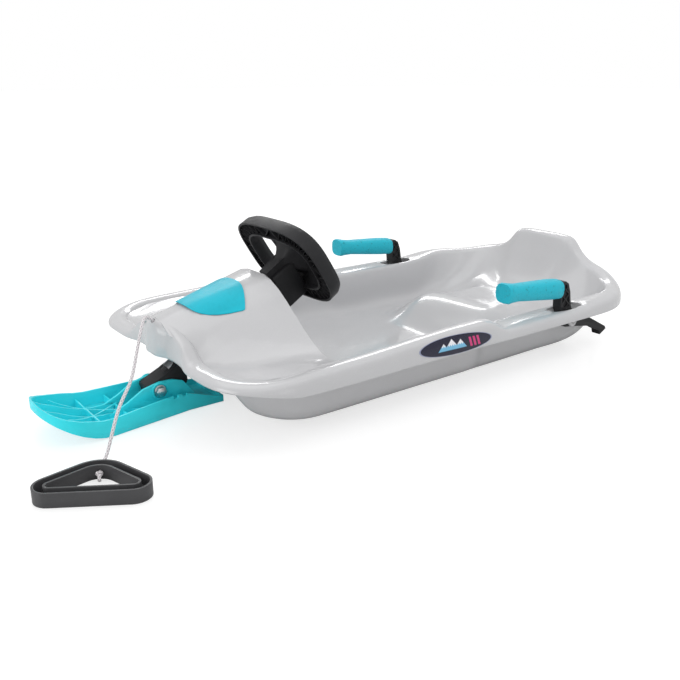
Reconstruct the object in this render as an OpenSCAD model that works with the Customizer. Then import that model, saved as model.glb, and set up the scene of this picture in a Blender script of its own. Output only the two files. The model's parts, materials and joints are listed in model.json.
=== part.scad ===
// A child's plastic bobsled: a moulded tub with a bonnet, a steered front ski and two hand brakes.
// +X points to the bow, +Y to the sled's left side, +Z up; the runners stand on Z = 0.

/* [Tub] */
// Length of the tub over its rim
tub_len = 860; // [830:1:890]
// Width of the tub over its skirt
tub_w = 484; // [460:1:510]
// Wall of the moulding
wall = 3; // [2.4:0.1:4]
// Height of the rim along the sides
rim_h = 96; // [90:1:104]
// Height of the skirt's lower edge
skirt_low = 68; // [60:1:74]
// Width of the rim's top beside the cockpit
rim_w = 30; // [24:1:36]
// Width of the rim's top where the brakes pass through it
ledge_w = 50; // [46:1:54]
// Corner radius of the rim at the bow
bow_r = 95; // [80:1:110]
// Corner radius of the rim at the stern
stern_r = 160; // [145:1:170]
// Height of the seat's front hump above the floor
seat_h = 50; // [40:1:58]
// Height of the headrest above the stern rim
head_h = 46; // [36:1:54]
// Height of the moulded runners under the floor
runner_h = 6; // [4:0.5:9]
// Width of one runner
runner_w = 20; // [14:1:24]

/* [Bonnet] */
// Height of the bonnet's ridge at its rear edge
bonnet_h = 174; // [165:1:182]
// Distance from the bow to the bonnet's rear edge
bonnet_len = 172; // [160:1:182]
// Wall of the bonnet
bonnet_wall = 2.5; // [2:0.1:3.5]
// Thickness of the coloured panel on the bonnet
panel_t = 1; // [0.6:0.1:1.6]

/* [Steering] */
// Angle of the column above the horizontal
column_tilt = 32; // [31:0.5:33]
// Diameter of the column
column_d = 16; // [14:1:18]
// Width of the wheel across the sled
wheel_w = 200; // [188:1:212]
// Height of the wheel in its own plane
wheel_h = 138; // [130:1:146]
// Depth of the wheel's band along the column
band_d = 27; // [24:1:30]
// Width of the wheel's band in its own plane
band_w = 24; // [21:1:26]

/* [Ski] */
// Distance that the ski's tip stands ahead of the tub
ski_ahead = 170; // [162:1:180]
// Width of the ski at its shovel
ski_w = 123; // [114:1:128]
// Width of the ski at its tail
ski_tail_w = 83; // [76:1:90]
// Height of the ski's side walls
ski_wall_h = 28; // [24:1:31]
// Wall of the ski
ski_t = 3; // [2.5:0.1:4]
// Diameter of the ski's pivot bolt
bolt_d = 8; // [6:1:10]

/* [Brakes] */
// Distance from the tub's side to the middle of each brake lever
brake_in = 30; // [28:1:32]
// Thickness of a brake lever
lever_t = 16; // [12:1:18]
// Diameter of a brake's pivot pin
pin_d = 8; // [6:1:10]
// Length of a grip
grip_len = 132; // [120:1:140]
// Thickness of a grip
grip_d = 32; // [28:1:34]

/* [Tow] */
// Diameter of the tow rope
rope_d = 4.4; // [4:0.1:5]
// Width of the tow handle
handle_w = 140; // [130:1:150]
// Height of the tow handle's band
handle_h = 18; // [16:1:21]
// Width of the tow handle's band
handle_band = 16; // [14:1:18]

/* [Hidden] */

grey = "gainsboro";
aqua = "darkturquoise";
black = "#1c1c1e";
steel = "silver";

// Clearances: between still pieces, round a running pin, round moving pieces
seat_gap = 0.3;
pin_gap = 0.08;
clear = 5;

function mix(a, b, t) = a + (b - a) * t;
function clamp01(t) = min(1, max(0, t));
function smooth(a, b, v) = let (t = clamp01((v - a) / (b - a))) t * t * (3 - 2 * t);
function bent(v, e) = sign(v) * pow(abs(v), e);

// A solid through rings of points, closed at both ends
module loft(rings) {
    n = len(rings) - 1;
    m = len(rings[0]);
    sides = [for (r = [0:n - 1], k = [0:m - 1]) let (a = r * m + k, b = r * m + (k + 1) % m)
        each [[a, a + m, b + m], [a, b + m, b]]];
    ends = [[for (k = [0:m - 1]) k], [for (k = [m - 1:-1:0]) n * m + k]];
    polyhedron([for (ring = rings) each ring], concat(sides, ends), convexity = 6);
}

// Plan outlines of the tub, each [front, rear, half width, front radius, rear radius]
overall_len = tub_len + ski_ahead;
stern_x = -overall_len / 2;
bow_x = stern_x + tub_len;
rim_plan = [bow_x, stern_x, tub_w / 2, bow_r, stern_r];
floor_front = bow_x - 130;
floor_rear = stern_x + 115;
floor_half = tub_w / 2 - 82;
floor_plan = [floor_front, floor_rear, floor_half, 60, 110];
floor_z = runner_h + wall;

// Samples round an outline: each side and each end has two half corners and a straight run
corner_n = 5;
side_n = 24;
front_steps = [1, 0.68, 0.54, 0.455, 0.3, 0.195, 0.115, 0.05, 0];
end_half = len(front_steps) - 1;
end_n = 2 * end_half;
len_n = side_n + 2 * corner_n;
wid_n = end_n + 2 * corner_n;
loop_n = 2 * (len_n + wid_n);

// Samples lie closer together at the hip, and at the steps beside the prow
hip_close = 0.45;
hip_share = 0.56;
function side_share(t) = t - hip_close / (2 * PI) * (sin(360 * (t - hip_share)) + sin(360 * hip_share));
function front_share(j) = j <= end_half ? front_steps[j] : -front_steps[end_n - j];
function arc_pt(c, r, a) = [c.x + r * cos(a), c.y + r * sin(a), cos(a), sin(a)];
function side_pt(k, o) =
    k < corner_n ? arc_pt([o[0] - o[3], o[2] - o[3]], o[3], 45 + 45 * k / corner_n)
    : k <= corner_n + side_n ? let (f = side_share((k - corner_n) / side_n))
        [mix(o[0] - o[3], o[1] + o[4], f), o[2], 0, 1]
    : arc_pt([o[1] + o[4], o[2] - o[4]], o[4], 90 + 45 * (k - corner_n - side_n) / corner_n);
function end_pt(k, x, half, r, way) = let (
        a = k < corner_n ? 45 * (1 - k / corner_n) : k <= corner_n + end_n ? 0
            : -45 * (k - corner_n - end_n) / corner_n,
        j = min(end_n, max(0, k - corner_n)),
        y = (half - r) * (way > 0 ? front_share(j) : 1 - 2 * j / end_n))
    [x - way * r * (1 - cos(a)), y + r * sin(a), way * cos(a), sin(a)];
function flip(p) = [p[0], -p[1], p[2], -p[3]];
function loop_pt(k, o) =
    k < len_n ? side_pt(k, o)
    : k < len_n + wid_n ? end_pt(k - len_n, o[1], o[2], o[4], -1)
    : k < 2 * len_n + wid_n ? flip(side_pt(2 * len_n + wid_n - k, o))
    : flip(end_pt(k - 2 * len_n - wid_n, o[0], o[2], o[3], 1));

// Heights of the rim: a hip amidships, a lower ledge for the brakes, shoulders and a headrest, a prow
hip_x = stern_x + 430;
ledge_x = hip_x - 45;
nose_half = 73;
step_depth = 7;
prow_half = 23;
prow_out = 10;
function nose_out(y) = prow_out * (1 - smooth(prow_half - 5, prow_half + 5, abs(y)))
    - step_depth * (1 - smooth(nose_half - 5, nose_half + 5, abs(y)));
function at_stern(x) = smooth(stern_x + 110, stern_x + 25, x);
function at_bow(x) = smooth(bow_x - 60, bow_x - 35, x);
function on_ledge(x) = smooth(hip_x, ledge_x, x);
function nose_z(y) = 17 * (1 - smooth(nose_half - 7, nose_half + 7, abs(y)))
    + 26 * (1 - smooth(0, nose_half + 5, abs(y)));
function rim_z(x, y) = rim_h - 7 * smooth(bow_x - 145, bow_x, x) + 10 * smooth(bow_x - 145, hip_x + 25, x)
    - 19 * on_ledge(x) + 8 * smooth(stern_x + 220, stern_x + 90, x)
    + at_stern(x) * (14 * (1 - smooth(100, 200, abs(y))) + head_h * (1 - smooth(55, 100, abs(y))))
    + at_bow(x) * nose_z(y);
function skirt_z(x, y) = skirt_low + 10 * smooth(bow_x - 110, bow_x - 20, x)
    + at_stern(x) * head_h / 2 * (1 - smooth(55, 130, abs(y)));
function rim_wide(x) = rim_w
    + (ledge_w - rim_w) * on_ledge(x) * (1 - smooth(stern_x + 190, stern_x + 90, x));

// Floor, ski tunnel under the bow, and seat with a front hump, side channels and a dished middle
seat_x = stern_x + 270;
seat_flat = 68;
seat_half = floor_half - runner_w - 2;
tunnel_h = 28;
tunnel_half = 78;
function floor_at(x, y) = floor_z
    + tunnel_h * smooth(floor_front - 75, floor_front - 5, x)
        * (1 - smooth(tunnel_half, tunnel_half + 35, abs(y)))
    + seat_h * smooth(seat_x + 85, seat_x, x) * (1 - smooth(seat_flat, seat_half, abs(y)))
        * (1 - 0.22 * smooth(seat_x, seat_x - 85, x));

// One section of the tub's sheet, from the floor's edge to the skirt's edge.
// Each point is [x, y, z] on the upper face; the lower face is moved by [outward, down] of the wall.
wall_steps = 6;
rim_lip = 1.5;
function rim_steps(x) = let (w = rim_wide(x)) [
    // inset, drop, share of the way to the skirt's edge, outward shift, down shift, share of the prow
    [w + rim_lip, 6, 0, 1, 0.3, 0], [w, 0.8, 0, 0.9, 1, 0], [w * 0.55, -1, 0, 0, 1, 0],
    [8, 0.5, 0, -0.5, 1, 0.5], [3, 4, 0.05, -1, 0.6, 1], [1.2, 4, 0.4, -1, 0, 1], [0, 4, 1, -1, 0, 1]];
function rim_pt(k, s) = let (
        p = loop_pt(k, rim_plan), top = rim_z(p.x, p.y), low = skirt_z(p.x, p.y),
        out = p.x > bow_x - 1 ? s[5] * nose_out(p.y) : 0)
    [p.x + out - p[2] * s[0], p.y - p[3] * s[0], mix(top - s[1], low, s[2])];
function wall_pt(k, t) = let (
        q = loop_pt(k, floor_plan), p = loop_pt(k, rim_plan), e = rim_pt(k, rim_steps(p.x)[0]),
        z0 = floor_at(q.x, q.y), way = p[2], c = 0.8 - (way > 0 ? 0.2 * way : -0.35 * way),
        u = 2 * t * (1 - t), v = t * t, w = u * c + v)
    [mix(q.x, e.x, w), mix(q.y, e.y, w), z0 + (e.z - z0) * v];
function wall_shift(k, t) = let (
        a = wall_pt(k, max(0, t - 0.05)), b = wall_pt(k, min(1, t + 0.05)),
        run = norm([b.x - a.x, b.y - a.y]), rise = b.z - a.z, l = norm([run, rise]))
    [rise / l, run / l];

ring_n = wall_steps + len(rim_steps(0));
function sheet_pt(r, k, under) = let (
        p = loop_pt(k, rim_plan), s = rim_steps(p.x)[max(0, r - wall_steps)],
        b = r < wall_steps ? wall_pt(k, r / wall_steps) : rim_pt(k, s),
        m = r < wall_steps ? wall_shift(k, r / wall_steps) : [s[3], s[4]], d = under * wall)
    [b.x + p[2] * m[0] * d, b.y + p[3] * m[0] * d, b.z - m[1] * d];

// Floor grid inside the first ring, blended from its four edges
function floor_edge(k) = let (q = loop_pt(k % loop_n, floor_plan)) [q.x, q.y];
function floor_pt(i, j, under) = let (
        u = i / len_n, v = j / wid_n,
        left = floor_edge(i), right = floor_edge(2 * len_n + wid_n - i),
        rear = floor_edge(len_n + j), front = floor_edge(loop_n - j),
        c = mix(mix(floor_edge(0), floor_edge(2 * len_n + wid_n), v),
            mix(floor_edge(len_n), floor_edge(len_n + wid_n), v), u),
        p = mix(left, right, v) + mix(front, rear, u) - c)
    [p.x, p.y, floor_at(p.x, p.y) - under * wall];

face_n = ring_n * loop_n + (len_n - 1) * (wid_n - 1);
function floor_id(i, j) = j == 0 ? i : i == len_n ? len_n + j : j == wid_n ? 2 * len_n + wid_n - i
    : i == 0 ? loop_n - j : ring_n * loop_n + (i - 1) * (wid_n - 1) + j - 1;
function ring_id(r, k) = r * loop_n + k % loop_n;
function turned(f, o) = o ? [f[2] + face_n, f[1] + face_n, f[0] + face_n] : f;
function halves(q, o) = [turned([q[2], q[1], q[0]], o), turned([q[3], q[2], q[0]], o)];

module tub_sheet() {
    points = [for (o = [0, 1]) each concat(
        [for (r = [0:ring_n - 1], k = [0:loop_n - 1]) sheet_pt(r, k, o)],
        [for (i = [1:len_n - 1], j = [1:wid_n - 1]) floor_pt(i, j, o)])];
    last = ring_n - 1;
    faces = concat(
        [for (o = [0, 1], r = [0:last - 1], k = [0:loop_n - 1]) each
            halves([ring_id(r, k), ring_id(r + 1, k), ring_id(r + 1, k + 1), ring_id(r, k + 1)], o == 1)],
        [for (o = [0, 1], i = [0:len_n - 1], j = [0:wid_n - 1]) each
            halves([floor_id(i, j), floor_id(i + 1, j), floor_id(i + 1, j + 1), floor_id(i, j + 1)], o == 1)],
        [for (k = [0:loop_n - 1]) each let (
            a = ring_id(last, k), b = ring_id(last, k + 1))
            [[a + face_n, a, b], [b + face_n, a + face_n, b]]]);
    polyhedron(points, faces, convexity = 10);
}

// Steering line: the wheel's centre and the column through the bow
wheel_back = 245;
wheel_x = bow_x - wheel_back;
wheel_z = bonnet_h + 21;
bow_exit = 220;
column_end = bow_exit + 46;
module along_column(s = 0) translate([wheel_x, 0, wheel_z]) rotate([0, column_tilt - 90, 0])
    translate([0, 0, -s]) children();
column_r = column_d / 2;
boss_r = column_r + 8;
boss_len = 26;
boss_end = bow_exit + 8;

// Brakes: the pivot lies under the ledge, just behind the slot that the lever rises through
brake_y = tub_w / 2 - brake_in;
pivot_x = stern_x + 219;
pivot_z = 66;
slot_front = pivot_x + 34;
slot_rear = pivot_x - 24;
lever_in = brake_y - lever_t / 2;
lever_out = brake_y + lever_t / 2;
ear_gap = clear;
ear_t = 5.5;
ear_half = 11;
pin_r = pin_d / 2;

module side_extrude(y0, y1) translate([0, y1, 0]) rotate([90, 0, 0]) linear_extrude(y1 - y0) children();

module brake_ears() for (y = [lever_in - ear_gap - ear_t, lever_out + ear_gap])
    side_extrude(y, y + ear_t) difference() {
        union() {
            translate([pivot_x, pivot_z]) circle(ear_half, $fn = 40);
            polygon([[pivot_x - ear_half, pivot_z], [pivot_x + ear_half, pivot_z],
                [pivot_x + ear_half, rim_z(pivot_x + ear_half, tub_w / 2) - wall / 2],
                [pivot_x - ear_half, rim_z(pivot_x - ear_half, tub_w / 2) - wall / 2]]);
        }
        translate([pivot_x, pivot_z]) circle(pin_r + pin_gap / 4, $fn = 40);
    }

module brake_slot() translate([slot_rear, lever_in - clear, pivot_z + 6])
    cube([slot_front - slot_rear, lever_t + 2 * clear, 40]);

runner_y = floor_half - 2 - runner_w / 2;
module runner(y) side_extrude(y - runner_w / 2, y + runner_w / 2)
    polygon([[floor_rear + 18, runner_h + wall / 2], [floor_rear + 44, 0], [floor_front - 90, 0],
        [floor_front - 62, runner_h + wall / 2]]);

rope_hole = [bow_x - 3, 0, 129];
rope_hole_turn = 50;
module hull() color(grey) {
    difference() {
        union() {
            tub_sheet();
            along_column(boss_end) cylinder(r = boss_r, h = boss_len, $fn = 48);
            for (y = [-runner_y, runner_y]) runner(y);
            brake_ears();
            mirror([0, 1, 0]) brake_ears();
        }
        along_column(boss_end + 22) cylinder(r = column_r + pin_gap, h = 80, $fn = 48);
        brake_slot();
        mirror([0, 1, 0]) brake_slot();
        translate(rope_hole) rotate([0, rope_hole_turn, 0])
            cylinder(r = rope_d / 2 + 0.8, h = 24, center = true, $fn = 32);
    }
}

// The bonnet is a dome inside the rim, open to the cockpit at its rear edge
bonnet_x = bow_x - bonnet_len;
bonnet_inset = rim_lip + 2 * seat_gap;
bonnet_rows = 12;
bonnet_cols = 20;
// Rear and front half widths of the ridge's crown and of the dome's foot
crown = [18, 4];
foot = [192, 84];
prow_z = rim_z(bow_x, 0);
channel_drop = 9;
function ridge_z(x) = mix(bonnet_h, prow_z, (x - bonnet_x) / bonnet_len);
function bonnet_z(x, y) = let (
        f = clamp01((x - bonnet_x) / bonnet_len), low = rim_z(x, tub_w / 2) - channel_drop,
        inner = mix(crown[0], crown[1], f), outer = mix(foot[0], foot[1], f))
    low + (ridge_z(x) - low) * (1 - smooth(inner, outer, abs(y)));

// Its edge lies just inside the rim and follows the rim's height round the bow
bonnet_r = bow_r - rim_w - bonnet_inset;
bonnet_front = bow_x - rim_w - bonnet_inset;
corner_x = bow_x - bow_r;
corner_y = tub_w / 2 - bow_r;
edge_drop = 2.5;
function bonnet_xy(u, v) = let (
        x = mix(bonnet_x, bonnet_front, u), y = (2 * v - 1) * (corner_y + bonnet_r),
        over = max(0, abs(y) - corner_y), back = bonnet_r - sqrt(max(0, bonnet_r * bonnet_r - over * over)))
    [x - back * smooth(0.35, 1, u), y];
function edge_z(x, y) = let (k = bow_r / bonnet_r, over = abs(y) - corner_y)
    rim_z(x > corner_x ? corner_x + (x - corner_x) * k : x, over > 0 ? corner_y + over * k : y) - edge_drop;
function bonnet_pt(i, j, lift) = let (
        u = i / bonnet_rows, v = j / bonnet_cols, p = bonnet_xy(u, v),
        near = max(smooth(0.88, 1, u), smooth(0.88, 1, abs(2 * v - 1))))
    [p.x, p.y, mix(bonnet_z(p.x, p.y), edge_z(p.x, p.y), near) + lift];

// A sheet between two like grids of points
module grid_sheet(top, low) {
    n = len(top) - 1;
    m = len(top[0]) - 1;
    step = m + 1;
    total = (n + 1) * step;
    quads = concat(
        [for (i = [0:n - 1], j = [0:m - 1]) [i * step + j, i * step + j + 1,
            (i + 1) * step + j + 1, (i + 1) * step + j]],
        [for (i = [0:n - 1], j = [0:m - 1]) [total + i * step + j, total + (i + 1) * step + j,
            total + (i + 1) * step + j + 1, total + i * step + j + 1]],
        [for (i = [0:n - 1]) each [[i * step, (i + 1) * step, total + (i + 1) * step, total + i * step],
            [(i + 1) * step + m, i * step + m, total + i * step + m, total + (i + 1) * step + m]]],
        [for (j = [0:m - 1]) each [[j + 1, j, total + j, total + j + 1],
            [n * step + j, n * step + j + 1, total + n * step + j + 1, total + n * step + j]]]);
    polyhedron([for (g = [top, low], row = g) each row],
        [for (q = quads) each [[q[0], q[1], q[2]], [q[0], q[2], q[3]]]], convexity = 8);
}

rib_x = bonnet_x + 16;
rib_t = 10;
rib_half = 34;
rib_low = wheel_z - (rib_x - wheel_x) * tan(column_tilt) - boss_r - 4;
rib_bore = (rib_x + rib_t - wheel_x) / cos(column_tilt) + 20;
module bonnet() color(grey) difference() {
    union() {
        grid_sheet([for (i = [0:bonnet_rows]) [for (j = [0:bonnet_cols]) bonnet_pt(i, j, 0)]],
            [for (i = [0:bonnet_rows]) [for (j = [0:bonnet_cols]) bonnet_pt(i, j, -bonnet_wall)]]);
        translate([rib_x - rib_t / 2, 0, 0]) rotate([90, 0, 90]) linear_extrude(rib_t)
            polygon(concat([[rib_half, rib_low], [-rib_half, rib_low]],
                [for (k = [-4:4]) let (y = k / 4 * rib_half)
                    [y, bonnet_z(rib_x + rib_t / 2, y) - bonnet_wall * 0.8]]));
    }
    along_column(rib_bore) cylinder(r = column_r + pin_gap, h = rib_bore, $fn = 48);
}

// The panel's rear edge sweeps forward and its front edge sweeps back to the two corners
panel_rows = 6;
panel_cols = 20;
panel_front = bow_x - 48;
panel_rear = bonnet_x + 36;
panel_half = 64;
panel_corner = bonnet_x + 57;
module bonnet_panel() color(aqua) {
    grid = [for (i = [0:panel_rows]) [for (j = [0:panel_cols]) let (
        v = 2 * j / panel_cols - 1, rear = mix(panel_rear, panel_corner, v * v),
        front = mix(panel_front, panel_corner + 3, pow(abs(v), 3.2)))
        [mix(rear, front, i / panel_rows), v * panel_half]]];
    grid_sheet([for (row = grid) [for (p = row) [p.x, p.y, bonnet_z(p.x, p.y) + 2 * seat_gap + panel_t]]],
        [for (row = grid) [for (p = row) [p.x, p.y, bonnet_z(p.x, p.y) + 2 * seat_gap]]]);
}

// The wheel's band is an oval channel, open towards the bow
band_n = 48;
band_wall = 3;
oval_e = 0.62;
function oval(a, half_h, half_w) = [half_h * bent(cos(a), oval_e), half_w * bent(sin(a), oval_e)];
function band_section() = let (w = band_w, d = band_d, t = band_wall)
    [[0, 0], [0.5, d * 0.6], [4, d * 0.88], [w / 2, d], [w - 4, d * 0.88], [w - 0.5, d * 0.6], [w, 0],
        [w - t, 0], [w - t, d * 0.6], [w / 2, d - t], [t, d * 0.6], [t, 0]];
module wheel_band() {
    sec = band_section();
    m = len(sec);
    points = [for (k = [0:band_n - 1], s = sec) let (
        p = oval(360 * k / band_n, wheel_h / 2 - s[0], wheel_w / 2 - s[0])) [p.x, p.y, s[1] - band_d]];
    faces = [for (k = [0:band_n - 1], j = [0:m - 1]) let (
            a = k * m + j, b = k * m + (j + 1) % m, c = (k + 1) % band_n * m + (j + 1) % m,
            d = (k + 1) % band_n * m + j)
        each [[a, b, c], [a, c, d]]];
    polyhedron(points, faces, convexity = 8);
}

// Zigzag ribs inside the band's channel
zig_n = 64;
zig_t = 1.6;
module zigzag(shift) polygon([for (k = [0:zig_n - 1]) let (
    in = (k % 2 == 0 ? band_wall - 1 : band_w - band_wall + 1) + shift)
    oval(360 * (k + 0.5) / zig_n, wheel_h / 2 - in, wheel_w / 2 - in)]);
module band_ribs() translate([0, 0, 1.5 - band_d]) linear_extrude(band_d * 0.6) difference() {
    zigzag(-zig_t / 2);
    zigzag(zig_t / 2);
}

hub_half = 38;
hub_cut = 60;
hub_t = 8;
hub_block = column_d + 16;
hub_len = 44;
hub_flare = 18;
function hub_ring(f) = let (half = hub_block / 2, g = f * f, e = mix(0.3, 0.8, f))
    [for (k = [0:band_n / 2 - 1]) let (a = 720 * k / band_n)
        [mix(half, hub_half * 1.15, g) * bent(cos(a), e), mix(half, hub_half - 3, g) * bent(sin(a), e),
            (f - 1) * hub_flare - band_d * 0.75 + 2]];
module web_oval(in) polygon([for (k = [0:band_n - 1])
    oval(360 * k / band_n, wheel_h / 2 - in, wheel_w / 2 - in)]);
module hub_web() translate([0, 0, -band_d * 0.75]) linear_extrude(hub_t) difference() {
    web_oval(band_w / 2);
    for (s = [-1, 1]) intersection() {
        web_oval(band_w);
        translate([0, s * (hub_half + hub_cut)]) circle(hub_cut, $fn = 64);
    }
}

module steering_wheel() color(black) along_column() difference() {
    union() {
        wheel_band();
        band_ribs();
        hub_web();
        loft([for (k = [0:6]) hub_ring(k / 6)]);
        translate([-hub_block / 2, -hub_block / 2, -band_d * 0.75 - hub_len])
            cube([hub_block, hub_block, hub_len]);
    }
    translate([0, 0, -band_d - hub_len - 1]) cylinder(r = column_r, h = band_d + hub_len - 6, $fn = 48);
}

module steering_column() color(steel) along_column(column_end)
    cylinder(r = column_r, h = column_end - 7, $fn = 48);

// Ski and its bracket
bolt_x = bow_x + 2;
bolt_z = 31;
bolt_r = bolt_d / 2;
bracket_w = 30;
box_gap = 1;
box_t = 4;
box_half = bracket_w / 2 + box_gap;
sleeve_top = boss_end + clear;
sleeve_r = column_r + 3;
module ski_bracket() color(black) difference() {
    union() {
        side_extrude(-bracket_w / 2, bracket_w / 2)
            polygon([[bolt_x + 24, 34], [bolt_x + 23, 38], [bolt_x - 15, 61], [bolt_x - 24, 64],
                [bolt_x - 42, 62], [bolt_x - 46, 36], [bolt_x - 38, 20], [bolt_x + 8, 15],
                [bolt_x + 18, 22]]);
        along_column(column_end + 2) cylinder(r = sleeve_r, h = column_end + 2 - sleeve_top, $fn = 48);
    }
    along_column(column_end) cylinder(r = column_r, h = 60, $fn = 48);
    translate([bolt_x, bracket_w, bolt_z]) rotate([90, 0, 0])
        cylinder(r = bolt_r + pin_gap, h = 2 * bracket_w, $fn = 40);
}

// The ski widens to a shovel whose sole and walls sweep up to the tip
tip_x = overall_len / 2;
tail_x = bow_x - 86;
tail_run = tail_x + 54;
shovel_x = tip_x - 66;
rise_x = tip_x - 85;
tip_rise = 36;
function ski_low(x) = x < rise_x ? 0 : tip_rise * pow((x - rise_x) / (tip_x - rise_x), 1.8);
function ski_top(x) = ski_low(x) + mix(10, ski_wall_h, smooth(tail_x, tail_x + 70, x))
    - 4 * smooth(bolt_x, shovel_x, x) - 11 * smooth(shovel_x, tip_x, x);
ski_steps = 18;
function ski_x(k) = mix(tail_x, tip_x, k / ski_steps);
function ski_line(up) = [for (k = [0:ski_steps]) [ski_x(k), ski_low(ski_x(k)) + up]];
function ski_tops(up) = [for (k = [ski_steps:-1:0]) [ski_x(k), ski_top(ski_x(k)) + up]];
function rib_tops() = [for (k = [ski_steps:-1:0]) let (x = ski_x(k))
    [x, min(ski_low(x) + rib_h, ski_top(x) - 2)]];
tip_n = 32;
module ski_plan(in) polygon(concat(
    [[tail_run, ski_tail_w / 2 - in], [tail_x + in, ski_tail_w / 2 - in],
        [tail_x + in, in - ski_tail_w / 2], [tail_run, in - ski_tail_w / 2]],
    [for (k = [0:tip_n]) let (a = 180 * k / tip_n - 90)
        [shovel_x + (tip_x - shovel_x - in) * bent(cos(a), 0.8), (ski_w / 2 - in) * bent(sin(a), 0.8)]]));
module ski_pocket() intersection() {
    side_extrude(-ski_w, ski_w) polygon(concat(ski_line(ski_t), ski_tops(40)));
    linear_extrude(120) ski_plan(ski_t);
}
rib_h = 15;
ski_rib = 2.2;
cross_x = [bolt_x + 54, bolt_x + 94];
lane_y = 17;
module ski_ribs() intersection() {
    side_extrude(-ski_w, ski_w) polygon(concat(ski_line(0.5), rib_tops()));
    linear_extrude(120) intersection() {
        ski_plan(ski_t / 2);
        union() {
            for (x = cross_x) translate([x, -ski_w / 2]) square([ski_rib, ski_w]);
            for (s = [-1, 1]) {
                translate([(cross_x[0] + cross_x[1]) / 2, 0]) rotate(s * 33)
                    square([150, ski_rib], center = true);
                translate([bolt_x, s * 33]) rotate(s * 26) square([100, ski_rib], center = true);
                translate([cross_x[0], s * lane_y - ski_rib / 2]) square([tip_x - cross_x[0], ski_rib]);
            }
        }
    }
}
box_front = bolt_x + 48;
box_rear = bolt_x - 36;
module ski_box() for (s = [-1, 1]) side_extrude(
        s > 0 ? box_half : -box_half - box_t, s > 0 ? box_half + box_t : -box_half)
    polygon([[box_front + 27, 1], [box_front + 27, 12], [box_front, 24], [bolt_x + 24, 38], [bolt_x, 43.5],
        [bolt_x - 20, 43], [box_rear, 38], [box_rear - 18, 14], [box_rear - 18, 1]]);
head_t = 6;
washer_t = 1.6;
washer_r = bolt_r * 2.2;
bolt_half = box_half + box_t;
collar_h = 2.5;
module bolt_collars() for (s = [-1, 1])
    side_extrude(s > 0 ? bolt_half : -bolt_half - collar_h, s > 0 ? bolt_half + collar_h : -bolt_half)
        translate([bolt_x, bolt_z]) difference() {
            circle(washer_r + 4, $fn = 48);
            circle(washer_r + 1.5, $fn = 48);
        }
notch_w = 7;
module wall_notches() for (x = [bolt_x - 16, bolt_x - 30])
    translate([x, -ski_w / 2, ski_wall_h - 4]) cube([notch_w, ski_w, 20]);
module ski() color(aqua) difference() {
    union() {
        difference() {
            intersection() {
                side_extrude(-ski_w, ski_w) polygon(concat(ski_line(0), ski_tops(0)));
                linear_extrude(120) ski_plan(0);
            }
            ski_pocket();
            wall_notches();
        }
        difference() {
            ski_ribs();
            translate([tail_x, -box_half, ski_t]) cube([box_front - tail_x, 2 * box_half, 80]);
        }
        ski_box();
        bolt_collars();
    }
    translate([bolt_x, bolt_half + 1, bolt_z]) rotate([90, 0, 0])
        cylinder(r = bolt_r, h = 2 * bolt_half + 2, $fn = 40);
}

module ski_bolt() color(steel) translate([bolt_x, 0, bolt_z]) rotate([-90, 0, 0]) {
    translate([0, 0, -bolt_half - 8]) cylinder(r = bolt_r, h = 2 * bolt_half + 16, $fn = 40);
    translate([0, 0, bolt_half]) cylinder(r = washer_r, h = washer_t, $fn = 40);
    translate([0, 0, bolt_half + washer_t]) cylinder(r = bolt_r * 1.8, h = head_t, $fn = 6);
    translate([0, 0, -bolt_half - washer_t]) cylinder(r = washer_r, h = washer_t, $fn = 40);
    translate([0, 0, -bolt_half - washer_t - head_t]) cylinder(r = bolt_r * 1.8, h = head_t, $fn = 6);
}

// Brake lever: an arch from the grip down through the ledge, and a claw behind the pivot
grip_rear = pivot_x + 26;
grip_z = 121;
grip_rise = 13;
lever_boss = 9;
// Pockets with crossed ribs lighten the arch on both faces
pocket_depth = 2.5;
pocket_rib = 1.8;
module lever_pocket() difference() {
    polygon([[pivot_x + 15, 84], [pivot_x + 21, 96], [pivot_x + 23, grip_z + 7], [pivot_x + 13, grip_z + 6],
        [pivot_x + 6, grip_z - 8], [pivot_x + 2, 90]]);
    for (z = [-14, 2, 18], s = [-1, 1]) translate([pivot_x + 13, 100 + z]) rotate(s * 42)
        square([60, pocket_rib], center = true);
}
module lever() color(black) difference() {
    union() {
        side_extrude(lever_in, lever_out) lever_side();
        side_extrude(lever_in - ear_gap + 1, lever_out + ear_gap - 1)
            translate([pivot_x, pivot_z]) circle(lever_boss, $fn = 40);
    }
    side_extrude(lever_in - ear_gap, lever_out + ear_gap)
        translate([pivot_x, pivot_z]) circle(pin_r + pin_gap, $fn = 40);
    side_extrude(lever_in - 1, lever_in + pocket_depth) lever_pocket();
    side_extrude(lever_out - pocket_depth, lever_out + 1) lever_pocket();
}
module lever_side() polygon([[grip_rear, grip_z + 11], [grip_rear - 10, grip_z + 12],
    [grip_rear - 18, grip_z + 7], [grip_rear - 24, grip_z - 8], [pivot_x - 2, 90], [pivot_x - 12, 72],
    [pivot_x - 26, 63], [pivot_x - 60, 57], [pivot_x - 117, 24], [pivot_x - 120, 19], [pivot_x - 104, 11],
    [pivot_x - 101, 19], [pivot_x - 62, 42], [pivot_x - 20, 50], [pivot_x + 8, 54], [pivot_x + 14, 62],
    [pivot_x + 24, 90], [grip_rear, grip_z - 9]]);
module brake_lever_left() lever();
module brake_lever_right() mirror([0, 1, 0]) lever();

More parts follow.
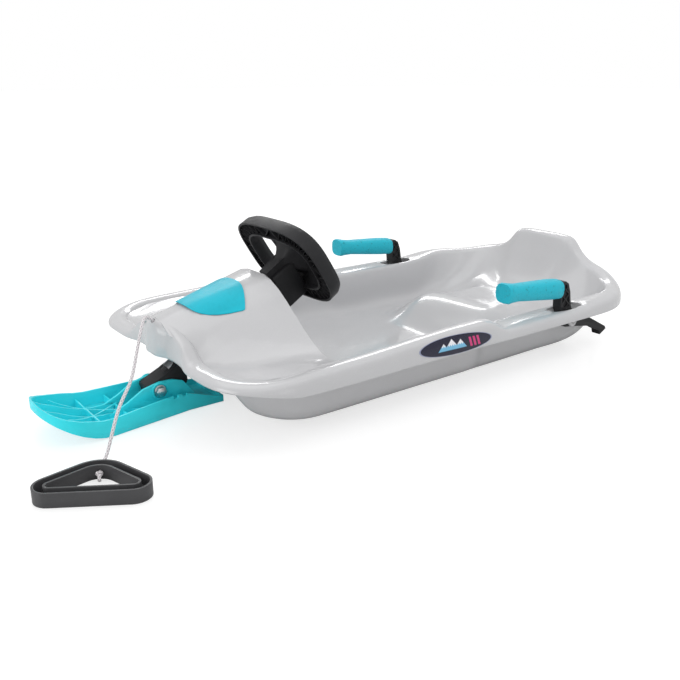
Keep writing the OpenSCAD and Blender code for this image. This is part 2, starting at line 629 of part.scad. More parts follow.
grip_sides = 16;
grip_rings = [[0, 0.86], [0.03, 1], [0.2, 1.02], [0.5, 0.94], [0.78, 0.86], [0.9, 0.94], [0.965, 1.03],
    [1, 0.95]];
function grip_pt(f, size, a) = let (r = grip_d / 2 * size) [grip_rear + f * grip_len,
    brake_y + r * bent(cos(a), 0.7), grip_z + grip_rise * f + r * bent(sin(a), 0.7)];
module grip() color(aqua) loft([for (g = grip_rings)
    [for (k = [0:grip_sides - 1]) grip_pt(g[0], g[1], 360 * k / grip_sides)]]);
module brake_grip_left() grip();
module brake_grip_right() mirror([0, 1, 0]) grip();

module brake_pin() color(steel) translate([pivot_x, lever_out + ear_gap + ear_t, pivot_z])
    rotate([90, 0, 0]) cylinder(r = pin_r, h = lever_t + 2 * (ear_gap + ear_t), $fn = 40);
module brake_pin_left() brake_pin();
module brake_pin_right() mirror([0, 1, 0]) brake_pin();

// Tow rope: out of the prow, past the ski's left side, to the handle that lies on the ground
rope_route = [[334, 0, 122.5], [338, 0, 125.7], [342, 0, 129], [346.5, 0, 132.6], [350.5, 2, 135],
    [354.5, 5.8, 135.8], [358.8, 11, 134.8], [363.5, 17, 132], [368, 23, 127.8], [373, 29.2, 121.8],
    [378, 35, 114.5], [383.5, 41, 106], [389, 47, 97], [395, 53.5, 87.5], [401.5, 60.5, 78.5],
    [409, 68.5, 71.5], [418, 78, 66.5], [427.5, 88, 61.5], [436.5, 97.5, 55.5], [444.5, 106, 48],
    [451.5, 113.2, 39.5], [458, 120, 31], [464.3, 126.6, 22.7], [470, 132.5, 16], [475, 137.5, 12],
    [480, 142.5, 9.8], [484, 148.6, 9.3], [487.8, 155.6, 9.3], [490.6, 160.8, 9.3], [493, 165.2, 9],
    [495, 169.3, 6.8], [496.3, 172.8, 4.2]];
knot_at = 29;
rope_sides = 8;
function route_dir(k) = let (n = len(rope_route) - 1,
    d = rope_route[min(n, k + 1)] - rope_route[max(0, k - 1)]) d / norm(d);
function rope_ring(k) = let (
        d = route_dir(k), s = cross([0, 0, 1], d), side = s / norm(s), up = cross(d, side))
    [for (j = [0:rope_sides - 1]) let (a = 360 * j / rope_sides)
        rope_route[k] + rope_d / 2 * (cos(a) * side + sin(a) * up)];
module tow_rope() color("whitesmoke") loft([for (k = [0:len(rope_route) - 1]) rope_ring(k)]);
knot_r = 5;
module rope_knot_bow() color("whitesmoke") translate(rope_route[0]) sphere(knot_r, $fn = 32);
module rope_knot_handle() color("whitesmoke") translate(rope_route[knot_at]) sphere(knot_r, $fn = 32);

// Tow handle: a rounded triangle bent from a channel, open on top
handle_at = [515.4, 206.7];
handle_turn = 151.6;
handle_corner = 22;
handle_apex = 38;
apex_y = 68.4;
corner_at = [handle_w / 2 - handle_corner, 8];
apex_at = [0, apex_y - handle_apex];
side_way = apex_at - corner_at;
side_turn = atan2(side_way.y, side_way.x) - acos((handle_corner - handle_apex) / norm(side_way));
tri_arcs = [[[-corner_at.x, corner_at.y], handle_corner, 180 - side_turn, 270],
    [corner_at, handle_corner, 270, 360 + side_turn], [apex_at, handle_apex, side_turn, 180 - side_turn]];
module tri(inset) polygon([for (a = tri_arcs, k = [0:12]) let (g = mix(a[2], a[3], k / 12))
    a[0] + (a[1] - inset) * [cos(g), sin(g)]]);
handle_wall = 3;
rope_eye_z = 9.3;
module tow_handle() color("#3c3c3e") translate([handle_at.x, handle_at.y, 0]) rotate(handle_turn)
    difference() {
    linear_extrude(handle_h) difference() {
        tri(0);
        tri(handle_band);
    }
    translate([0, 0, handle_wall]) linear_extrude(handle_h) difference() {
        tri(handle_wall);
        tri(handle_band - handle_wall);
    }
    translate([0, apex_y + 10, rope_eye_z]) rotate([90, 0, 0])
        cylinder(r = rope_d / 2 + 0.6, h = handle_band + 20, $fn = 32);
}

hull();
bonnet();
bonnet_panel();
steering_wheel();
steering_column();
ski_bracket();
ski();
ski_bolt();
brake_lever_left();
brake_lever_right();
brake_grip_left();
brake_grip_right();
brake_pin_left();
brake_pin_right();
tow_rope();
rope_knot_bow();
rope_knot_handle();
tow_handle();
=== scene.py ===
import json
import math

import bpy
from mathutils import Matrix, Vector
from mathutils.bvhtree import BVHTree


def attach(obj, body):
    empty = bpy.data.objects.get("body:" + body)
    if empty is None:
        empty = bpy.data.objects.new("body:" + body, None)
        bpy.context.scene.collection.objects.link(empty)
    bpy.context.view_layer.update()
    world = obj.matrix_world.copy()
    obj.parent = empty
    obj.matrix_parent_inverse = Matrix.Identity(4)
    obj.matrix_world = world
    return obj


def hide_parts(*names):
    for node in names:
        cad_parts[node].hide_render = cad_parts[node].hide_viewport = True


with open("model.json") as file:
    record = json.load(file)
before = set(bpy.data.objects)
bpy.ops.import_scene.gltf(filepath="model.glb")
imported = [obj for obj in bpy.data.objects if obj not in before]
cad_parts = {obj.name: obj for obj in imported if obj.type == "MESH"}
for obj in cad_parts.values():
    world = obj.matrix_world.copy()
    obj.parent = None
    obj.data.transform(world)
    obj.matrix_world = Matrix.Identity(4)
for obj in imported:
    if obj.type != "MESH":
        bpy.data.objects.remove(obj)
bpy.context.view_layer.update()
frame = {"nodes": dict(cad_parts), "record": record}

nodes = frame["nodes"]
body_of = {n: b for b, names in frame["record"]["behaviour"]["bodies"].items() for n in names}

# The viewpoint: ahead of the bow on the sled's left side, a little above its wheel, with a normal lens.
scene = bpy.context.scene
scene.view_settings.view_transform = "Standard"
view_lens = bpy.data.cameras.new("viewpoint")
view_lens.lens = 42.1
viewpoint = bpy.data.objects.new("viewpoint", view_lens)
scene.collection.objects.link(viewpoint)
viewpoint.location = (0.771, 0.999, 0.455)
viewpoint.rotation_euler = Vector((-0.5722, -0.7556, -0.319)).to_track_quat("-Z", "Y").to_euler()
scene.camera = viewpoint


# The studio: a white floor in even white light, with soft lamps above, ahead and at the side. The fill lamp
# shows in no reflection, and the back lamp in nothing else.
# Shader maths is written on wires; each wire is an output in one material's node tree.
class Wire:
    def __init__(self, tree, socket=None):
        self.tree = tree
        self.socket = socket

    def node(self, kind, sockets, out=0, **settings):
        made = self.tree.nodes.new(kind)
        for name, value in settings.items():
            setattr(made, name, value)
        for name, value in sockets.items():
            if isinstance(value, Wire):
                self.tree.links.new(value.socket, made.inputs[name])
            else:
                made.inputs[name].default_value = value
        return Wire(self.tree, made.outputs[out])

    def maths(self, operation, *values):
        return self.node("ShaderNodeMath", dict(enumerate(values)), operation=operation)

    def __add__(self, other):
        return self.maths("ADD", self, other)

    def __sub__(self, other):
        return self.maths("SUBTRACT", self, other)

    def __rsub__(self, other):
        return self.maths("SUBTRACT", other, self)

    def __mul__(self, other):
        return self.maths("MULTIPLY", self, other)

    __radd__ = __add__

    def step(self, low, high):
        return self.node("ShaderNodeMapRange", {"Value": self, "From Min": low, "From Max": high},
                         interpolation_type="SMOOTHSTEP")

    def blend(self, first, second):
        """The second colour where this mask is 1, and the first where it is 0."""
        return self.node("ShaderNodeMix", {0: self, 6: first, 7: second}, out=2, data_type="RGBA")


def srgb(red, green, blue):
    """The linear colour for screen values from 0 to 255."""
    return tuple((v / 255 / 12.92) if v < 10.3 else ((v / 255 + 0.055) / 1.055) ** 2.4 for v in (red, green, blue))


def start_material(name):
    """A new material with its node tree, its shader and the wire of Object coordinates."""
    made = bpy.data.materials.new(name)
    made.use_nodes = True
    tree = made.node_tree
    shader = tree.nodes["Principled BSDF"]
    place = Wire(tree).node("ShaderNodeTexCoord", {}, out=3)
    return made, tree, shader, place


def feed(tree, shader, **inputs):
    """Wires and constants onto a shader's sockets."""
    for name, value in inputs.items():
        socket = shader.inputs[name.replace("_", " ")]
        if isinstance(value, Wire):
            tree.links.new(value.socket, socket)
        else:
            socket.default_value = value


def scaled(place, x, y, z):
    return place.node("ShaderNodeMapping", {"Vector": place, "Scale": (x, y, z)})


def speckle(place, scale, detail=3.0, rough=0.55):
    return place.node("ShaderNodeTexNoise", {"Vector": place, "Scale": scale, "Detail": detail, "Roughness": rough})


def relief(height, distance, strength=1.0):
    return height.node("ShaderNodeBump", {"Height": height, "Distance": distance, "Strength": strength})


floor_drop = 0.0006
floor_bounce, floor_seen, floor_glow = 0.8, 0.36, 0.7
air_light = 0.71
lamp_aim = Vector((0, 0, 0.05))
bpy.ops.object.select_all(action="DESELECT")
bpy.ops.mesh.primitive_plane_add(size=40, location=(0, 0, -floor_drop))
studio_floor = bpy.context.object
studio_floor.name = "studio_floor"
bpy.ops.object.transform_apply()
floor_finish, tree, shader, place = start_material("floor_finish")
rays = Wire(tree).node("ShaderNodeLightPath", {})
feed(tree, shader, Base_Color=rays.blend((*[floor_bounce] * 3, 1), (*[floor_seen] * 3, 1)), Roughness=0.3,
     Emission_Strength=1.0, Emission_Color=rays.blend((0, 0, 0, 1), (*[floor_glow] * 3, 1)))
studio_floor.data.materials.append(floor_finish)

world = bpy.data.worlds.new("studio_air")
scene.world = world
world.use_nodes = True
tree = world.node_tree
rays = Wire(tree).node("ShaderNodeLightPath", {})
feed(tree, tree.nodes["Background"], Color=(1, 1, 1, 1), Strength=rays * (1 - air_light) + air_light)
for name, spot, size, depth, power in (("top_lamp", (0.4, -0.6, 1.9), 1.5, 1.5, 6),
                                       ("bow_lamp", (1.9, -0.1, 0.6), 1.0, 1.0, 8),
                                       ("side_lamp", (0.2, 2.4, 0.35), 1.0, 0.7, 2),
                                       ("fill_lamp", (-0.6, 0.6, 1.4), 1.0, 1.0, 6),
                                       ("strip_lamp", (0.0, 1.0, 1.9), 2.2, 0.06, 1.5),
                                       ("back_lamp", (-1.6, -2.2, 1.75), 2.6, 0.4, 24)):
    lamp = bpy.data.lights.new(name, "AREA")
    lamp.shape = "RECTANGLE"
    lamp.size = size
    lamp.size_y = depth
    lamp.energy = power
    stand = bpy.data.objects.new(name, lamp)
    scene.collection.objects.link(stand)
    stand.visible_diffuse = name != "back_lamp"
    stand.visible_glossy = name != "fill_lamp"
    stand.location = spot
    stand.rotation_euler = (lamp_aim - Vector(spot)).to_track_quat("-Z", "Y").to_euler()


# Tow rope: a braided white cord, 4.4 mm thick. It leaves the prow through a hole, hangs down to the ground
# on the left side and passes through the handle's eye; an overhand knot stops it at either end.
rope_width = 0.0044
rope_strands = 4
rope_pitch = 0.007
rope_sides = 16
rope_step = 0.0007
eye_index, knot_index = 28, 29
knot_steps = 160
knot_gap = 0.02
knot_size = 0.00098
knot_thickness = 0.0018
knot_sides = 12
rope_route = [(334, 0, 122.5), (338, 0, 125.7), (342, 0, 129), (346.5, 0, 132.6), (350.5, 2, 135),
              (354.5, 5.8, 135.8), (358.8, 11, 134.8), (363.5, 17, 132), (368, 23, 127.8), (373, 29.2, 121.8),
              (378, 35, 114.5), (383.5, 41, 106), (389, 47, 97), (395, 53.5, 87.5), (401.5, 60.5, 78.5),
              (409, 68.5, 71.5), (418, 78, 66.5), (427.5, 88, 61.5), (436.5, 97.5, 55.5), (444.5, 106, 48),
              (451.5, 113.2, 39.5), (458, 120, 31), (464.3, 126.6, 22.7), (470, 132.5, 16), (475, 137.5, 12),
              (480, 142.5, 9.8), (484, 148.6, 9.3), (487.8, 155.6, 9.3), (490.6, 160.8, 9.3), (493, 165.2, 9),
              (495, 169.3, 6.8), (496.3, 172.8, 4.2)]
rope_route = [Vector(p) / 1000 for p in rope_route]


def smooth_path(points, step):
    """A smooth line through the points, with a place on it every step."""
    ends = [2 * points[0] - points[1]] + points + [2 * points[-1] - points[-2]]
    line = [points[0]]
    for a, b, c, d in zip(ends, ends[1:], ends[2:], ends[3:]):
        count = max(1, round((c - b).length / step))
        for k in range(1, count + 1):
            t = k / count
            line.append(0.5 * (2 * b + (c - a) * t + (2 * a - 5 * b + 4 * c - d) * t * t
                               + (3 * b - a - 3 * c + d) * t ** 3))
    return line


def braided_tube(name, line, radius, sides, strands, pitch):
    """A cord along a line, with the relief of crossing strands and its own UV map."""
    along, side = [0.0], None
    for a, b in zip(line, line[1:]):
        along.append(along[-1] + (b - a).length)
    points = []
    for k, spot in enumerate(line):
        way = (line[min(k + 1, len(line) - 1)] - line[max(k - 1, 0)]).normalized()
        side = (side - side.dot(way) * way if side else way.orthogonal()).normalized()
        up = way.cross(side)
        for j in range(sides):
            turn = 2 * math.pi * j / sides
            twist = 2 * math.pi * along[k] / pitch
            plait = max(math.cos(strands * turn + twist), math.cos(strands * turn - twist))
            bulge = radius * (0.93 + 0.07 * plait)
            points.append(spot + bulge * (math.cos(turn) * side + math.sin(turn) * up))
    count = len(line)
    faces = [(k * sides + j, k * sides + (j + 1) % sides, (k + 1) * sides + (j + 1) % sides, (k + 1) * sides + j)
             for k in range(count - 1) for j in range(sides)]
    faces += [tuple(range(sides))[::-1], tuple((count - 1) * sides + j for j in range(sides))]
    mesh = bpy.data.meshes.new(name)
    mesh.from_pydata(points, [], faces)
    chart = mesh.uv_layers.new(name="UVMap")
    for face in mesh.polygons:
        face.use_smooth = len(face.vertices) == 4
        for corner, vertex in zip(face.loop_indices, face.vertices):
            k, j = divmod(vertex, sides)
            over = face.index < (count - 1) * sides and face.index % sides == sides - 1 and j == 0
            chart.data[corner].uv = ((j + sides * over) / sides, along[k] / pitch)
    piece = bpy.data.objects.new(name, mesh)
    scene.collection.objects.link(piece)
    return piece


rope_finish, tree, shader, place = start_material("braided_cord")
chart = Wire(tree).node("ShaderNodeTexCoord", {}, out=2)
split = chart.node("ShaderNodeSeparateXYZ", {"Vector": chart})
around = split * (2 * math.pi * rope_strands)
lengthways = Wire(tree, split.socket.node.outputs[1]) * (2 * math.pi)
plait = around.maths("MAXIMUM", around.maths("COSINE", around + lengthways),
                     around.maths("COSINE", around - lengthways))
fibre = speckle(scaled(chart, 60, 9, 1), 3.0)
# Painted shade: the braid's grooves between the strands are painted a darker grey than the strands' crowns.
painted_groove_shade_mask = plait.step(-0.2, 0.7)
feed(tree, shader, Base_Color=painted_groove_shade_mask.blend((*srgb(186, 180, 184), 1), (*srgb(232, 228, 230), 1)),
     Roughness=0.62 + fibre * 0.25, Normal=relief(plait * 0.6 + fibre * 0.4, 0.0004), Sheen_Weight=0.25)

rope_line = smooth_path(rope_route, rope_step)
tow_rope = braided_tube("tow_rope_braid", rope_line, rope_width / 2, rope_sides, rope_strands, rope_pitch)
tow_rope.data.materials.append(rope_finish)
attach(tow_rope, "root")
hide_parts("tow_rope")

for name, node, spot, tilt in (("knot_at_prow", "rope_knot_bow", rope_route[0], 0.4),
                               ("knot_at_handle", "rope_knot_handle", rope_route[knot_index], 1.1)):
    loop = []
    for k in range(knot_steps + 1):
        t = 2 * math.pi * (knot_gap + (1 - 2 * knot_gap) * k / knot_steps)
        turn = Vector((math.sin(t) + 2 * math.sin(2 * t), math.cos(t) - 2 * math.cos(2 * t), -1.6 * math.sin(3 * t)))
        turn.rotate(Vector((math.cos(tilt), math.sin(tilt), 0.5)).to_track_quat("Z", "Y"))
        loop.append(spot + knot_size * turn)
    knot = braided_tube(name, loop, knot_thickness, knot_sides, rope_strands, rope_pitch)
    knot.data.materials.append(rope_finish)
    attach(knot, "root")
    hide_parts(node)


# Tow handle: a loop of dark grey plastic, moulded as an open channel with its ribs on the upper side.
# It lies on the ground, and the rope runs through the eye in its narrow end.
def finished_copy(node, finish, edge=0.0, angle=35):
    """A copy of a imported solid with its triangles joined, its edges broken and its shading smooth."""
    weld, flat, sharp = 4e-6, 1.5, 28
    piece = bpy.data.objects.new(node + "_moulding", nodes[node].data.copy())
    scene.collection.objects.link(piece)
    bpy.ops.object.select_all(action="DESELECT")
    piece.select_set(True)
    bpy.context.view_layer.objects.active = piece
    bpy.ops.mesh.customdata_custom_splitnormals_clear()
    bpy.ops.object.mode_set(mode="EDIT")
    bpy.ops.mesh.select_all(action="SELECT")
    bpy.ops.mesh.remove_doubles(threshold=weld)
    if edge:
        bpy.ops.mesh.dissolve_limited(angle_limit=math.radians(flat))
    bpy.ops.object.mode_set(mode="OBJECT")
    if edge:
        rounding = piece.modifiers.new("edges", "BEVEL")
        rounding.width = edge
        rounding.segments = 2
        rounding.limit_method = "ANGLE"
        rounding.angle_limit = math.radians(sharp)
        bpy.ops.object.modifier_apply(modifier="edges")
    bpy.ops.object.shade_smooth_by_angle(angle=math.radians(angle))
    piece.data.materials.clear()
    piece.data.materials.append(finish)
    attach(piece, body_of[node])
    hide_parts(node)
    return piece


def satin_plastic(name, colour, rough, grain, shine=0.5):
    """Moulded plastic with a fine grain, faint flow marks and a little dust in its roughness."""
    made, tree, shader, place = start_material(name)
    flow = speckle(scaled(place, 1, 2.2, 1.6), 14.0, 2.0)
    fine = speckle(place, grain, 2.0)
    dust = speckle(place, 160.0, 4.0, 0.7)
    tint = (flow * 0.7 + dust * 0.3).step(0.3, 0.7)
    darker = tuple(v * 0.9 for v in colour)
    lighter = tuple(min(1, v * 1.06 + 0.002) for v in colour)
    feed(tree, shader, Base_Color=tint.blend((*darker, 1), (*lighter, 1)),
         Roughness=rough - 0.06 + dust * 0.12, Normal=relief(fine, 0.0002, 0.5), Specular_IOR_Level=shine)
    return made


handle_finish = satin_plastic("handle_plastic", srgb(67, 67, 69), 0.42, 900.0)
tow_handle = finished_copy("tow_handle", handle_finish, 0.0012)
# The handle is a little smaller than its solid, and turned about its eye.
handle_share = 0.955
handle_turn = Matrix.Rotation(math.radians(-3.5), 3, "Z")
eye = rope_route[eye_index]
for point in tow_handle.data.vertices:
    reach = handle_turn @ (handle_share * (point.co - eye))
    point.co = Vector((eye.x + reach.x, eye.y + reach.y, point.co.z))
rope_length = sum((b - a).length for a, b in zip(rope_line, rope_line[1:]))

# Tub: one thick sheet of light grey polyethylene, moulded with its rim, skirt, seat, headrest and runners.
# The skin is glossy, with faint flow marks, and the runners are scuffed by snow and gravel.
tub_grey = srgb(196, 196, 198)
tub_finish, tree, shader, place = start_material("tub_plastic")
split = place.node("ShaderNodeSeparateXYZ", {"Vector": place})
height = Wire(tree, split.socket.node.outputs[2])
flow = speckle(scaled(place, 1, 1.5, 2), 5.0, 3.0)
peel = speckle(place, 190.0, 1.0)
flake = speckle(place, 2400.0, 1.0)
scuff = speckle(scaled(place, 14, 300, 300), 3.0, 4.0, 0.7).step(0.52, 0.62) * (1 - height.step(0.0, 0.012))
tone = flow.step(0.25, 0.75).blend((*(v * 0.965 for v in tub_grey), 1), (*(v * 1.02 for v in tub_grey), 1))
tone = (flake.step(0.55, 0.75) * 0.35).blend(tone, (0.83, 0.84, 0.86, 1))
feed(tree, shader, Base_Color=(scuff * 0.5).blend(tone, (*srgb(150, 150, 150), 1)),
     Roughness=0.17 + flow * 0.05 + scuff * 0.35, Normal=relief(peel * 0.8 + flake * 0.2 - scuff, 0.0003, 0.35),
     Coat_Weight=0.45, Coat_Roughness=0.06)
tub = finished_copy("hull", tub_finish, angle=42)


def ease(low, high, value):
    """0 below low and 1 above high, with a smooth rise between them."""
    t = max(0.0, min(1.0, (value - low) / (high - low)))
    return t * t * (3 - 2 * t)


# The lower walls are fuller than the solid's, and so are the stern's corners and shoulders.
side_swell, bow_swell, corner_swell, shoulder_rise = 0.012, 0.01, 0.008, 0.005
stern_corner = Vector((-0.355, 0.082))
for point in tub.data.vertices:
    x, y, z = point.co
    low = 1 - ease(0.01, 0.064, z)
    point.co.y += math.copysign(side_swell * low * ease(0.1, 0.15, abs(y)), y)
    point.co.x += bow_swell * low * ease(0.15, 0.215, x) * ease(0.085, 0.12, abs(y))
    corner_way = Vector((max(0.0, stern_corner.x - x), max(0.0, abs(y) - stern_corner.y)))
    if corner_way.length:
        corner_way.normalize()
        bulge = corner_swell * corner_way.x * corner_way.y
        point.co += Vector((-bulge * corner_way.x, math.copysign(bulge * corner_way.y, y), 0))
    rise = ease(0.43, 0.5, -x) * ease(0.05, 0.096, z) * (1 - ease(0.15, 0.215, abs(y)))
    point.co.z += shoulder_rise * rise * (0.35 + 0.65 * ease(0.06, 0.105, abs(y)))

# The nose is drawn in: half widths before and after, from the middle outwards.
nose_edge = (0.0, 0.0669, 0.0794, 0.147)
nose_drawn = (0.0, 0.0585, 0.067, 0.147)
for point in tub.data.vertices:
    share = ease(0.302, 0.318, point.co.x) * ease(0.07, 0.08, point.co.z)
    reach = abs(point.co.y)
    for a, b, c, d in zip(nose_edge, nose_edge[1:], nose_drawn, nose_drawn[1:]):
        if a < reach <= b:
            drawn = c + (reach - a) / (b - a) * (d - c)
            point.co.y += math.copysign(share * (drawn - reach), point.co.y)
# The whole sheet is divided and smoothed, which softens the nose's corners, the headrest and all other edges.
bpy.ops.object.select_all(action="DESELECT")
bpy.context.view_layer.objects.active = tub
tub.select_set(True)
bpy.ops.object.mode_set(mode="EDIT")
bpy.ops.mesh.select_mode(type="FACE")
bpy.ops.mesh.select_all(action="SELECT")
bpy.ops.mesh.subdivide(number_cuts=2, smoothness=0.4)
bpy.ops.mesh.vertices_smooth(factor=0.5, repeat=8)
bpy.ops.object.mode_set(mode="OBJECT")
bpy.ops.object.shade_smooth_by_angle(angle=math.radians(42))
# The bore for the steering column keeps its width.
bore_start, bore_radius = 0.2, 0.0084
wheel_spot = Vector((0.1, 0, 0.195))
column_way = Vector((0.848048, 0, -0.529919))
for point in tub.data.vertices:
    reach = point.co - wheel_spot
    reach -= reach.dot(column_way) * column_way
    if point.co.x > bore_start and 0 < reach.length < bore_radius:
        point.co += reach * (bore_radius / reach.length - 1)

# Side labels: a navy oval of printed film on either skirt, with a pale rim, three snowy peaks and slanted bars.
# Each is a disc pressed onto the tub's skirt, where it sticks.
label_spot = Vector((-0.013, 0.243, 0.0856))
label_rise = math.radians(1.7)
label_reach = (0.0725, 0.0141)
press_way, label_clear, film_thickness = 0.03, 0.0004, 0.0006
label_finish, tree, shader, place = start_material("label_film")
split = place.node("ShaderNodeSeparateXYZ", {"Vector": place})
ahead = (split - label_spot.x) * (1 / label_reach[0])
above = (Wire(tree, split.socket.node.outputs[2]) - label_spot.z - (split - label_spot.x) * math.tan(label_rise))
above = above * (1 / label_reach[1])
peaks = 0
for middle, top in ((-0.1, 0.5), (0.14, 0.68), (0.36, 0.34)):
    side = ahead.maths("ABSOLUTE", ahead - middle)
    peak = (top - side * 5.2 - above).step(-0.06, 0.06)
    peaks = peak if not peaks else peak.maths("MAXIMUM", peak, peaks)
peaks = peaks * (above + 0.42).step(-0.06, 0.06)
lean = ahead - above * 0.06
bars = (lean.maths("PINGPONG", lean, 0.055) - 0.024).step(-0.006, 0.006)
bars = bars * (lean.maths("ABSOLUTE", lean + 0.5) * -1.0 + 0.17).step(-0.004, 0.004)
bars = bars * (0.5 - above.maths("ABSOLUTE", above)).step(-0.06, 0.06)
rim = (ahead * ahead + above * above).step(0.92, 0.95)
snow = (above - 0.12 + (ahead.maths("PINGPONG", ahead, 0.03) * 6.0)).step(-0.05, 0.05)
ink = speckle(place, 700.0, 2.0)
tone = ink.blend((*srgb(20, 20, 44), 1), (*srgb(26, 26, 54), 1))
tone = peaks.blend(tone, snow.blend((*srgb(120, 190, 225), 1), (*srgb(240, 242, 246), 1)))
tone = bars.blend(tone, (*srgb(214, 62, 126), 1))
tone = rim.blend(tone, (*srgb(150, 156, 182), 1))
feed(tree, shader, Base_Color=tone, Roughness=0.22 + ink * 0.08, Normal=relief(ink, 0.00004, 0.4))
for hand, out in (("left", 1), ("right", -1)):
    bpy.ops.object.select_all(action="DESELECT")
    bpy.ops.mesh.primitive_circle_add(vertices=64, radius=1, fill_type="TRIFAN")
    label = bpy.context.object
    label.name = "side_label_" + hand
    label.scale = (*label_reach, 1)
    label.rotation_euler = (math.pi / 2, 0, math.pi if out > 0 else 0)
    label.location = (label_spot.x, out * (label_spot.y + press_way), label_spot.z)
    bpy.ops.object.transform_apply()
    for point in label.data.vertices:
        point.co.z += (point.co.x - label_spot.x) * math.tan(label_rise)
    bpy.ops.object.mode_set(mode="EDIT")
    bpy.ops.mesh.select_all(action="SELECT")
    bpy.ops.mesh.subdivide(number_cuts=5)
    bpy.ops.object.mode_set(mode="OBJECT")
    press = label.modifiers.new("press", "SHRINKWRAP")
    press.target = tub
    press.wrap_method = "PROJECT"
    press.use_project_y = True
    press.use_positive_direction = press.use_negative_direction = True
    press.offset = label_clear
    bpy.ops.object.modifier_apply(modifier="press")
    film = label.modifiers.new("film", "SOLIDIFY")
    film.thickness = film_thickness
    bpy.ops.object.modifier_apply(modifier="film")
    bpy.ops.object.shade_smooth_by_angle(angle=math.radians(40))
    label.data.materials.append(label_finish)
    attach(label, body_of["hull"])

# Bonnet: a dome of the same grey plastic, clipped in behind the bow's rim, with a bearing rib inside.
# Its edge is tucked under the rim, and its front edge is lapped over the nose.
rim_tuck, tuck_slope, tuck_from = 0.0035, 0.4, 0.0624
nose_lap, lap_clear = 0.024, 0.0012
nose_level = 0.13
sidelong = 50
bonnet = finished_copy("bonnet", tub_finish, angle=42)
crest = [face.vertices for face in tub.data.polygons if face.normal.z > 0.3 and face.center.x > 0.32]
plan = [(p.co.x * sidelong, p.co.y * sidelong, p.co.z) for p in tub.data.vertices]
nose_top = BVHTree.FromPolygons(plan, crest)
edge_top = {}
for point in bonnet.data.vertices:
    key = (round(point.co.x, 4), round(point.co.y, 4))
    edge_top[key] = max(edge_top.get(key, 0.0), point.co.z)
corner = Vector((0.25, 0.147))
for point in bonnet.data.vertices:
    share = (1 - ease(0.05, 0.072, abs(point.co.y))) * ease(0.305, 0.311, point.co.x)
    key = (round(point.co.x, 4), round(point.co.y, 4))
    way = Vector((max(0.0, point.co.x - corner.x), max(0.0, abs(point.co.y) - corner.y)))
    if way.length > tuck_from:
        tuck = rim_tuck * (1 - share) * ease(0.173, 0.185, point.co.x)
        way = way.normalized() * tuck
        point.co += Vector((way.x, math.copysign(way.y, point.co.y), -tuck_slope * tuck))
    if share:
        ahead = point.co.x + nose_lap * share
        point.co.x = ahead
        above_nose = Vector((ahead * sidelong, point.co.y * sidelong, nose_level))
        nose_height = nose_top.find_nearest(above_nose)[0].z
        point.co.z += share * (nose_height + lap_clear - edge_top[key])

# Bonnet panel: a thin cover of turquoise plastic on the bonnet's ridge, with a soft crease along each side.
# It follows the bonnet and is glued down.
aqua = srgb(24, 196, 218)
panel_shade = 0.84
aqua_finish = satin_plastic("aqua_plastic", tuple(v * panel_shade for v in aqua), 0.36, 500.0, 0.2)
finished_copy("bonnet_panel", aqua_finish, angle=42)

# Steering wheel: black moulded plastic, an oval band with a broad hub, ribbed on the side to the bow.
# The hub's web is dished towards the rider and its block is slim, so that the far opening shows the background.
black_finish = satin_plastic("black_plastic", srgb(38, 38, 40), 0.48, 700.0, 0.25)
wheel = finished_copy("steering_wheel", black_finish, angle=32)
wheel_up = Vector((-column_way.z, 0, column_way.x))
opening_height, opening_width, oval_power = 0.045, 0.076, 3.2
web_dish = 0.012
block_slim, bore_edge = 0.34, 0.0085
for point in wheel.data.vertices:
    reach = point.co - wheel_spot
    rise, depth = reach.dot(wheel_up), -reach.dot(column_way)
    out = ((abs(rise) / opening_height) ** oval_power + (abs(reach.y) / opening_width) ** oval_power)
    out **= 1 / oval_power
    at_web = ease(-0.036, -0.02, depth)
    dish = web_dish * (1 - ease(0.8, 0.99, out)) * at_web
    slim = block_slim * (1 - at_web) * (math.hypot(rise, reach.y) > bore_edge) * (out < 0.8)
    point.co -= dish * column_way + slim * (rise * wheel_up + Vector((0, reach.y, 0)))

# Column housing: a block of the wheel's black plastic, with rounded edges, below the wheel's hub.
# It clamps the column and turns with it.
housing_size = (0.034, 0.058, 0.044)
housing_ahead, housing_drop, housing_edge = 0.042, 0.029, 0.003
bpy.ops.object.select_all(action="DESELECT")
bpy.ops.mesh.primitive_cube_add(size=1)
column_housing = bpy.context.object
column_housing.name = "column_housing"
column_housing.scale = housing_size
column_housing.rotation_euler = column_way.to_track_quat("Z", "Y").to_euler()
column_housing.location = wheel_spot + housing_ahead * column_way - housing_drop * wheel_up
bpy.ops.object.transform_apply()
rounding = column_housing.modifiers.new("edges", "BEVEL")
rounding.width = housing_edge
rounding.segments = 3
bpy.ops.object.modifier_apply(modifier="edges")
bpy.ops.object.shade_smooth_by_angle(angle=math.radians(35))
column_housing.data.materials.append(black_finish)
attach(column_housing, body_of["steering_wheel"])

# Steering column: a zinc-plated tube, brushed and a little stained.
# It turns in the bonnet's rib and in the boss under the bow.
zinc_finish, tree, shader, place = start_material("zinc_steel")
brushed = speckle(scaled(place, 30, 30, 900), 2.0)
stain = speckle(place, 45.0, 4.0)
zinc_tone = stain.step(0.3, 0.7).blend((0.50, 0.50, 0.52, 1), (0.66, 0.66, 0.66, 1))
feed(tree, shader, Base_Color=zinc_tone, Metallic=1.0,
     Roughness=0.28 + brushed * 0.14, Normal=relief(brushed, 0.00008, 0.6))
finished_copy("steering_column", zinc_finish, angle=35)

# Ski bracket: a block of black plastic on the column's foot, bolted between the walls of the ski's box.
# Its front end is shorter and its top lower than the solid's.
bracket_trim, bracket_drop = 0.008, 0.009
bracket = finished_copy("ski_bracket", black_finish, 0.0012)
for point in bracket.data.vertices:
    x, y, z = point.co
    point.co.x -= bracket_trim * ease(0.354, 0.37, x)
    point.co.z -= bracket_drop * ease(0.038, 0.05, z) * ease(0.308, 0.33, x)
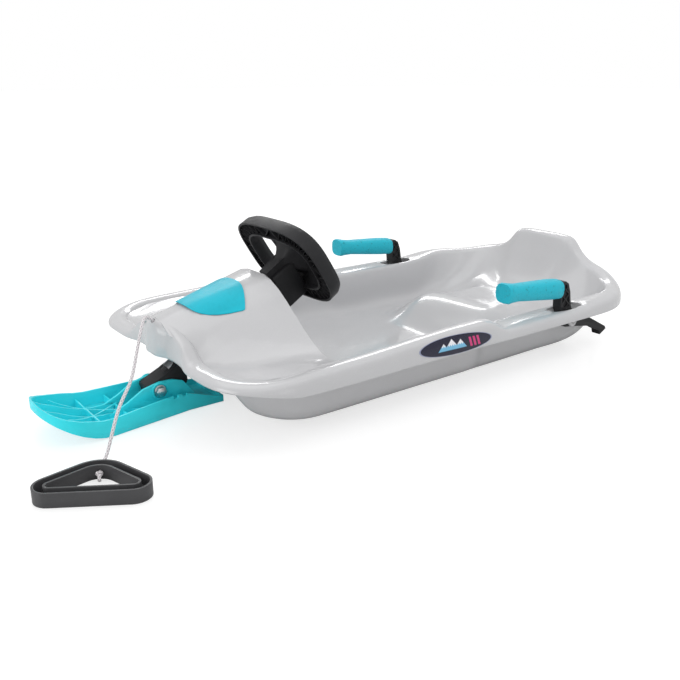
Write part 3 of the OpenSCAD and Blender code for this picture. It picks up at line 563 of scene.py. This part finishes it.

# Ski: turquoise plastic, painted lighter than the other turquoise parts as painted light on its shaded deck and
# sides, open on top with crossed ribs, and a polished sole with scratches lengthways.
# The bolt through its box holds it on the bracket.
ski_finish, tree, shader, place = start_material("ski_plastic")
split = place.node("ShaderNodeSeparateXYZ", {"Vector": place})
height = Wire(tree, split.socket.node.outputs[2])
flow = speckle(scaled(place, 1, 2, 2), 16.0, 3.0)
grain = speckle(place, 500.0, 2.0)
worn = speckle(scaled(place, 5, 260, 260), 3.0, 4.0, 0.7).step(0.5, 0.62) * (1 - height.step(0.001, 0.01))
sky = (aqua[0] + 0.02, aqua[1] * 1.02, aqua[2] * 0.9)
# Painted light: the ski's turquoise is 1.3 to 1.45 times the aqua, lighter than the panel's and the grips', to stand
# in for light its shaded deck and sides lack; the flow marks vary it between the two.
tone = flow.step(0.3, 0.7).blend((*(v * 1.3 for v in sky), 1), (*(v * 1.45 for v in sky), 1))
feed(tree, shader, Base_Color=(worn * 0.5).blend(tone, (*srgb(120, 205, 215), 1)),
     Roughness=0.3 + flow * 0.06 + worn * 0.3, Normal=relief(grain - worn, 0.0002, 0.4), Specular_IOR_Level=0.3)
finished_copy("ski", ski_finish, 0.0007)

# Ski bolt: a hexagon bolt with washers and a nut, zinc-plated like the column.
# It goes through the ski's box and the bracket, and the ski rocks on it.
finished_copy("ski_bolt", zinc_finish, 0.0005)

# Brake levers and pins: levers of black plastic, each an arch through the ledge with a claw behind its steel pin.
# The claws are shorter and higher than the solid's.
claw_short, claw_rise = 0.012, 0.01
for hand in ("left", "right"):
    lever = finished_copy("brake_lever_" + hand, black_finish, 0.0014)
    for point in lever.data.vertices:
        claw = ease(0.35, 0.402, -point.co.x)
        point.co += Vector((claw_short * claw, 0, claw_rise * claw))
    finished_copy("brake_pin_" + hand, zinc_finish, 0.0004)

# Brake grips: turquoise sleeves with a stippled skin whose sunken pits are painted dark as painted shade, and a
# flared end.
# They are pushed on the levers.
grip_shade, painted_pit_shade = 0.88, 0.3
grip_finish, tree, shader, place = start_material("grip_plastic")
cells = place.node("ShaderNodeTexVoronoi", {"Vector": place, "Scale": 420.0})
fleck = speckle(place, 260.0, 3.0, 0.7)
pit_and_painted_shade = fleck.step(0.56, 0.7)
# Painted shade: the stipple's sunken pits are painted a much darker turquoise.
grip_tone = (pit_and_painted_shade * 0.6).blend((*(v * grip_shade for v in aqua), 1), (*(v * painted_pit_shade for v in aqua), 1))
feed(tree, shader, Base_Color=grip_tone,
     Roughness=0.5 + fleck * 0.2, Normal=relief(cells * 0.5 - pit_and_painted_shade, 0.0005, 0.7))
for hand in ("left", "right"):
    finished_copy("brake_grip_" + hand, grip_finish, angle=50)
